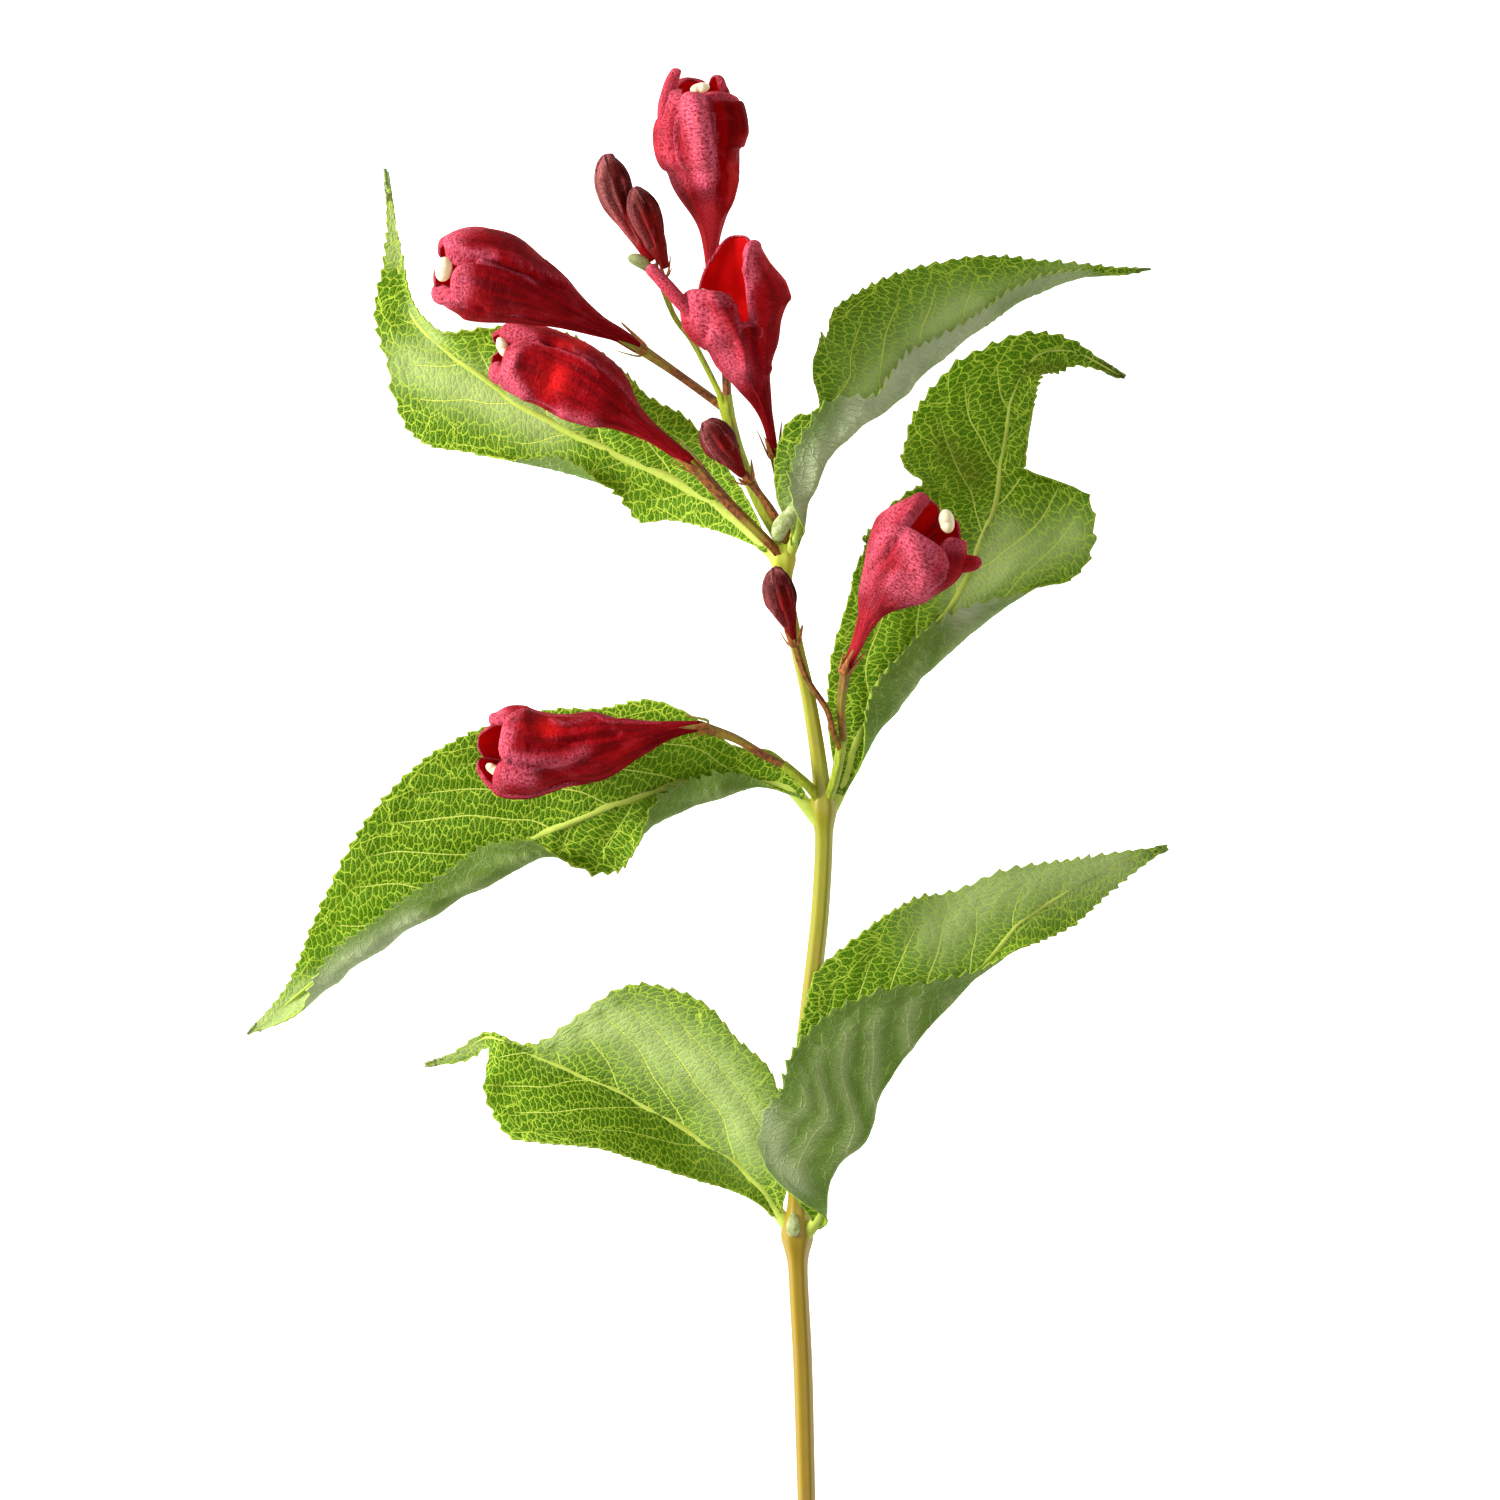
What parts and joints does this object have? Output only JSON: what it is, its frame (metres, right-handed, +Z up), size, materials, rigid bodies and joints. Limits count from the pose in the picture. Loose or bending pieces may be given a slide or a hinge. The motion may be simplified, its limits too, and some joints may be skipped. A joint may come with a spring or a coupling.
{
  "type": "cut weigela sprig",
  "caption": "Cut flowering sprig of red weigela: a slender upright shoot with paired green leaves, long tubular crimson blooms and dark buds, lying on its leaves.",
  "frame": {"origin": "on the ground under the middle of the sprig's bounding box", "axes": "+Y along the shoot from its cut end to its tip, +Z up from the ground towards the side that the blooms face, +X to the right seen from above"},
  "size_m": [0.1302, 0.204, 0.0402],
  "materials": {
    "young_bark": "smooth young bark, yellow-green shading to ochre, faintly ribbed",
    "green_stalk": "satin yellow-green stalk with fine hairs",
    "red_stalk": "satin reddish-brown ovary with green calyx teeth",
    "leaf_green": "satin green upper side with a sunken pale vein net, grey-green downy underside",
    "crimson_petal": "velvety crimson petal with a pinkish bloom and darker folds",
    "maroon_bud": "velvety dark maroon bud, pinker on its ridges"
  },
  "bodies": {
    "root": {"bloom_front": "crimson_petal", "bloom_left": "crimson_petal", "bloom_middle_left": "crimson_petal", "bloom_right": "crimson_petal", "bloom_top": "crimson_petal", "bloom_upper_left": "crimson_petal", "bud_branch": "green_stalk", "bud_second": "maroon_bud", "bud_small": "maroon_bud", "bud_stalk_small": "red_stalk", "bud_stalk_stem": "red_stalk", "bud_stem": "maroon_bud", "bud_tip": "maroon_bud", "cluster_stalk": "green_stalk", "leaf_lower_left": "leaf_green", "leaf_lower_right": "leaf_green", "leaf_middle_left": "leaf_green", "leaf_middle_right": "leaf_green", "leaf_upper_left": "leaf_green", "leaf_upper_right": "leaf_green", "left_axil_stalk": "green_stalk", "ovary_front": "red_stalk", "ovary_left": "red_stalk", "ovary_middle_left": "red_stalk", "ovary_right": "red_stalk", "ovary_top": "red_stalk", "ovary_upper_left": "red_stalk", "right_axil_stalk": "green_stalk", "stem": "young_bark"}
  },
  "joints": []
}
